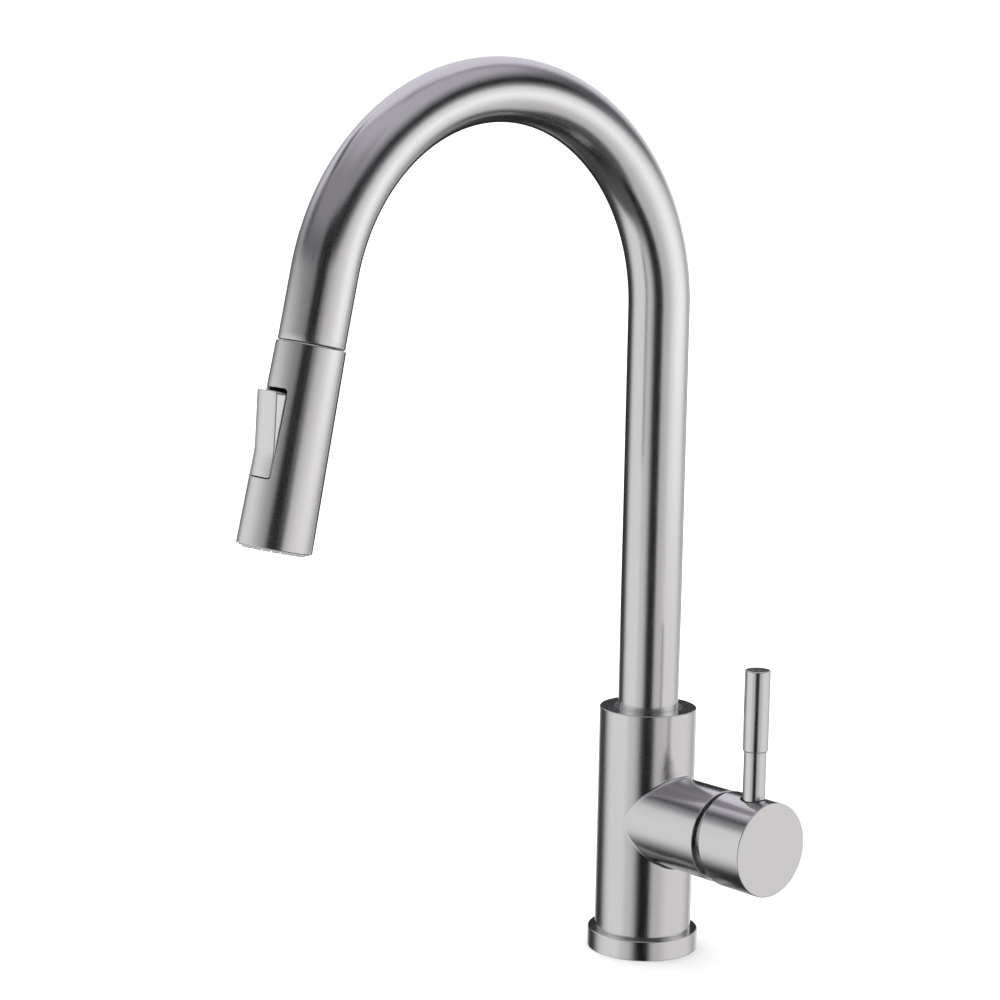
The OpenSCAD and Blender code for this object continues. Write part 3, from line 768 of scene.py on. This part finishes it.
def head_shell():
    """The tapered shell: a patch with the rocker's window, the rest of the cone, and its ends.
    Like the body's wall it is unrolled, as (angle, distance down the leg)."""
    edge = 0.3 * MM
    window_top, window_end = BUTTON_AT - PRESS_GAP - BUTTON_GAP, BUTTON_END + BUTTON_GAP
    middle = (window_top + window_end) / 2
    wide, tall = BUTTON_W + 2 * BUTTON_GAP, window_end - window_top

    def outline(grow):
        pairs = round_outline(wide + 2 * grow, tall + 2 * grow, 1.6 * MM + grow)
        return [(math.asin(x / shell_r(middle - y)), middle - y) for x, y in pairs]

    top, foot, half = HEAD_AT + MM, HEAD_END - MM, math.radians(63)
    hole = outline(edge)
    border = box_outline([(half, top), (half, foot), (-half, foot), (-half, top)],
                         len(hole) // 4)
    jamb = [[on_shell(a, s, HEAD_WALL) for a, s in outline(0)]]
    for turn in np.linspace(0, math.pi / 2, 5)[:-1]:
        jamb.append([on_shell(a, s, edge * (1 - math.sin(turn)))
                     for a, s in outline(edge * (1 - math.cos(turn)))])
    verts, faces, flat = skin(hole, border, 20, on_shell)
    jamb_verts, jamb_faces = grid(jamb + [verts[:len(hole)]])
    patch = make_object("shell_patch", verts, faces, [(HEAD_LOW_R * a, s) for a, s in flat])
    jambs = make_object("shell_jambs", jamb_verts, jamb_faces, [(v.x, v.z) for v in jamb_verts])
    rest = rest_of_wall("shell_rest", half, np.linspace(top, foot, 10), on_shell, HEAD_LOW_R)
    under = HEAD_AT + 2.7 * MM      # lower side of the shell's top
    upper = lathe("shell_top", rounded(
        [(shell_r(top), top, 0), (shell_r(HEAD_AT), HEAD_AT, 0.7 * MM),
         (HEAD_INLET, HEAD_AT, 0), (HEAD_INLET, under, 0), (HEAD_IN, under, 0)]), LEG)
    ledge = HEAD_END - FACE_DEPTH
    lower = lathe("shell_rim", rounded(
        [(shell_r(foot), foot, 0), (shell_r(HEAD_END), HEAD_END, 0.35 * MM),
         (FACE_HOLE, HEAD_END, 0.15 * MM), (FACE_HOLE, ledge, 0), (HEAD_IN, ledge, 0),
         (HEAD_IN, HEAD_END - 12 * MM, 0)]), LEG)
    shell = join("head_shell", patch, jambs, rest, upper, lower)
    back = LEG.inverted()
    slope = (HEAD_LOW_R - HEAD_TOP_R) / HEAD_LEN

    def cone_normal(point):
        p = back @ point
        r = math.hypot(p.x, p.y)
        if abs(r - shell_r(p.z)) > 3e-6:
            return None
        return (LEG.to_3x3() @ Vector((p.x / r, p.y / r, -slope))).normalized()

    true_normals(shell, cone_normal)
    finish_piece(shell, "spray_head", "nickel", "spray_shell")


def rocker_cap():
    """The rocker: flush with the shell at its lower end, raised like a wedge at the upper."""
    edge, underside = 0.35 * MM, 10.2 * MM
    middle = (BUTTON_AT + BUTTON_END) / 2
    slope = BUTTON_RISE / (BUTTON_KINK - BUTTON_AT)

    def height(x, s):
        """The higher of the shell and the wedge, with a soft kink between them."""
        flush = math.sqrt(shell_r(s) ** 2 - x * x)
        raised = math.sqrt(HEAD_TOP_R ** 2 - x * x) + slope * (BUTTON_KINK - s) + 0.55 * MM
        gap, soft = raised - flush, 0.35 * MM
        return flush + (gap + math.sqrt(gap * gap + soft * soft)) / 2 - soft / 4

    def row(inset, y):
        """The outline at an inset from the rocker's sides, at the height y(x, s)."""
        pairs = round_outline(BUTTON_W - 2 * inset, BUTTON_LEN - 2 * inset,
                              max(1.4 * MM - inset, 0))
        return [LEG @ Vector((x, y(x, middle - up), middle - up)) for x, up in pairs]

    rows = [row(inset, lambda x, s: underside) for inset in (HEAD_WALL, 0)]
    for turn in np.linspace(0, math.pi / 2, 6):
        drop = edge * (1 - math.sin(turn))
        rows.append(row(edge * (1 - math.cos(turn)), lambda x, s: height(x, s) - drop))
    for inset in (0.6, 1, 1.6, 2.4, 3.3, 4.2, 5.1, 6, 6.8):
        rows.append(row(inset * MM, height))
    verts, faces = grid(rows)
    cap = make_object("rocker_cap", verts, faces,
                      [(v.x, (LEG.inverted() @ v).z) for v in verts])
    # the eye that the pin runs through
    eye_in, eye_out, end = 1.3 * MM, 2.6 * MM, BUTTON_W / 2 - MM
    knuckle = lathe("knuckle", [(eye_in, -end), (eye_out, -end), (eye_out, end), (eye_in, end)],
                    LEG @ Matrix.Translation((0, TOGGLE_PIN_Y, TOGGLE_AT))
                    @ Matrix.Rotation(math.pi / 2, 4, "Y"), closed=True, segments=40)
    finish_piece(join("rocker_cap", cap, knuckle), "rocker", "nickel_plastic", "toggle_button")


# ---------------------------------------------------------------- studio

CAMERA_AT = Vector((0.85637587, -0.83553927, 0.38588106))
CAMERA_RIGHT = Vector((0.65260416, 0.7574779, 0.01830426))
CAMERA_UP = Vector((-0.12174191, 0.08098156, 0.98925269))
CAMERA_TURN = math.atan2(CAMERA_AT.y, CAMERA_AT.x)
LENS, SENSOR = 94.285, 36       # millimetres
FLOOR_R = 0.2
DAYLIGHT = 1.5                  # plain white light on everything, but not in reflections
UNLIT = 0.093                   # brightness of the reflected studio between its panels


def camera():
    data = bpy.data.cameras.new("camera")
    data.lens, data.sensor_width = LENS, SENSOR
    data.clip_start, data.clip_end = 0.05, 50
    obj = bpy.data.objects.new("camera", data)
    back = CAMERA_RIGHT.cross(CAMERA_UP)
    obj.matrix_world = Matrix.Translation(CAMERA_AT) @ Matrix(
        (CAMERA_RIGHT, CAMERA_UP, back)).transposed().to_4x4()
    bpy.context.scene.collection.objects.link(obj)
    bpy.context.scene.camera = obj


def floor():
    """A round of pale counter, small enough for the pulled-down head to pass beside it."""
    rows = [[(r * math.cos(a), r * math.sin(a), 0) for a in full_turn()]
            for r in np.linspace(MM, FLOOR_R, 12)]
    verts, faces = grid(rows)
    obj = make_object("studio_floor", verts, faces)
    material, nodes, shader, coords = new_material("studio_floor")
    grain = nodes.noise(coords.outputs["Object"], 30.0)
    nodes.link(nodes.mix_color(grain, (0.95, 0.95, 0.95, 1), (0.97, 0.97, 0.97, 1)),
               shader.inputs["Base Color"])
    shader.inputs["Roughness"].default_value = 0.9
    shader.inputs["Specular IOR Level"].default_value = 0.0
    obj.data.materials.append(material)
    obj.visible_glossy = False


# Studio seen by the metal: (turn from the camera, half width, height, half height, soft edge,
# brightness), in degrees, painted one over another. Positive turns are to the camera's right.
PANELS = [
    # far wall and ceiling behind the faucet
    (194, 55, 25, 57, 33, 0.81),
    # ceiling over the camera, then a lower strip of it on the left
    (11, 119, 68, 26, 25, 0.53),
    (-35, 55, 44, 16, 21, 0.29),
    # unlit band over the right softbox
    (45, 61, 20, 12, 6, 0.0),
    # right softbox and its glowing middle
    (75, 61, -20, 30, 10, 0.60),
    (83, 37, -11, 20, 33, 0.86),
    # left softbox and its glowing middle
    (-78, 58, -15, 25, 29, 0.66),
    (-70, 20, -19, 25, 15, 0.91),
    # gap beside the left softbox, and a narrow one over it
    (-134, 25, -24, 40, 31, 0.05),
    (-118, 16, 41, 4, 6, 0.0),
    # gap low down beside the right softbox
    (151, 31, -56, 29, 17, 0.02),
    # dark slot round the camera
    (0, 15, -21, 44, 17, 0.0),
]


def soft_card(name, place, bright, **soft):
    """A panel close to the faucet, seen in reflections only. place(u, v) gives its points for
    u and v from 0 to 1. soft says over what part of X (along u) and Y (along v) it fades out
    at each end."""
    across, up = np.linspace(0, 1, 33), np.linspace(0, 1, 9)
    verts, faces = grid([[place(u, v) for u in across] for v in up], close_cols=False)
    obj = make_object(name, verts, faces, [(u, v) for v in up for u in across])
    material = bpy.data.materials.new(name)
    material.use_nodes = True
    nodes = Nodes(material.node_tree)
    split = nodes.add("ShaderNodeSeparateXYZ")
    nodes.link(nodes.add("ShaderNodeTexCoord").outputs["UV"], split.inputs[0])
    mask = 1.0
    for side, fade in soft.items():
        inside = nodes.math("ABSOLUTE", nodes.math("SUBTRACT", split.outputs[side], 0.5))
        mask = nodes.math("MULTIPLY", nodes.ramp(inside, 0.5, 0.5 - fade * 2), mask)
    glow = nodes.add("ShaderNodeEmission")
    glow.inputs["Strength"].default_value = bright
    clear = nodes.add("ShaderNodeBsdfTransparent")
    choose = nodes.add("ShaderNodeMixShader")
    nodes.link(mask, choose.inputs[0])
    nodes.link(clear.outputs[0], choose.inputs[1])
    nodes.link(glow.outputs[0], choose.inputs[2])
    output = nodes.add("ShaderNodeOutputMaterial")
    nodes.link(choose.outputs[0], output.inputs["Surface"])
    obj.data.materials.append(material)
    obj.visible_camera = obj.visible_diffuse = obj.visible_shadow = False


def softbox(name, turns, heights, away, bright, soft_side, soft_end):
    """A curved upright panel. turns are degrees from the camera, heights and away metres."""
    def place(u, v):
        a = CAMERA_TURN + math.radians(turns[0] + (turns[1] - turns[0]) * u)
        return (away * math.cos(a), away * math.sin(a),
                heights[0] + (heights[1] - heights[0]) * v)

    soft_card(name, place, bright, X=soft_side, Y=soft_end)


def dark_table(level, radius, bright):
    """A round panel under the faucet, for its dark undersides."""
    def place(u, v):
        r = radius * (2 * v - 1)
        return r * math.cos(math.pi * u), r * math.sin(math.pi * u), level

    soft_card("dark_table", place, bright, Y=0.25)


def studio():
    """The world: PANELS for what the metal reflects, plain light for everything else."""
    world = bpy.data.worlds.new("studio")
    bpy.context.scene.world = world
    world.use_nodes = True
    nodes = Nodes(world.node_tree)
    coords = nodes.add("ShaderNodeTexCoord")
    turned = nodes.add("ShaderNodeMapping")
    turned.inputs["Rotation"].default_value = (0, 0, -CAMERA_TURN)
    nodes.link(coords.outputs["Generated"], turned.inputs["Vector"])
    split = nodes.add("ShaderNodeSeparateXYZ")
    nodes.link(turned.outputs["Vector"], split.inputs[0])
    degrees = 180 / math.pi
    turn = nodes.math("MULTIPLY", nodes.math("ARCTAN2", split.outputs["Y"], split.outputs["X"]),
                      degrees)
    height = nodes.math("MULTIPLY", nodes.math("ARCSINE", split.outputs["Z"]), degrees)
    light = UNLIT
    for centre, wide, level, tall, soft, bright in PANELS:
        # distance round the circle from the panel's middle
        away = nodes.math("SUBTRACT", turn, float(centre))
        away = nodes.math("WRAP", away, 180.0)
        away.node.inputs[2].default_value = -180.0
        away = nodes.math("ABSOLUTE", away)
        above = nodes.math("ABSOLUTE", nodes.math("SUBTRACT", height, float(level)))
        mask = nodes.math("MULTIPLY", nodes.ramp(away, wide + soft / 2, wide - soft / 2),
                          nodes.ramp(above, tall + soft / 2, tall - soft / 2))
        blend = nodes.add("ShaderNodeMix", data_type="FLOAT")
        nodes.link(mask, blend.inputs[0])
        nodes.put(light, blend.inputs[2])
        blend.inputs[3].default_value = bright
        light = blend.outputs[0]
    seen = nodes.add("ShaderNodeBackground")
    # slightly warm low down, slightly violet overhead
    tint = nodes.mix_color(nodes.ramp(height, -8.0, 34.0), (1.008, 0.99, 0.988, 1),
                           (0.99, 0.955, 1.06, 1))
    nodes.link(tint, seen.inputs["Color"])
    nodes.link(light, seen.inputs["Strength"])
    plain = nodes.add("ShaderNodeBackground")
    plain.inputs["Color"].default_value = (1, 1, 1, 1)
    plain.inputs["Strength"].default_value = DAYLIGHT
    path = nodes.add("ShaderNodeLightPath")
    choose = nodes.add("ShaderNodeMixShader")
    nodes.link(path.outputs["Is Glossy Ray"], choose.inputs[0])
    nodes.link(plain.outputs[0], choose.inputs[1])
    nodes.link(seen.outputs[0], choose.inputs[2])
    output = nodes.add("ShaderNodeOutputWorld")
    nodes.link(choose.outputs[0], output.inputs["Surface"])
    bpy.context.scene.view_settings.view_transform = "Standard"


camera()
studio()
# close panels: two lights, the dark round the camera and a dark card behind the faucet
softbox("left_softbox", (-126, -28), (-0.25, 0.45), 0.45, 0.86, 0.24, 0.12)
softbox("right_softbox", (38, 134), (-0.02, 0.55), 0.6, 1.27, 0.24, 0.3)
softbox("camera_slot", (-14, 16), (-0.8, 0.45), 0.6, 0.0, 0.2, 0.1)
softbox("dark_flat", (144, 236), (0.03, 0.33), 0.45, 0.01, 0.14, 0.09)
dark_table(-0.25, 0.38, 0.01)
floor()
finish_cad_nodes()
body_casting()
base_flange()
spout_pipe()
braided_hose()
hub_cup()
lever_pieces()
head_shell()
rocker_cap()
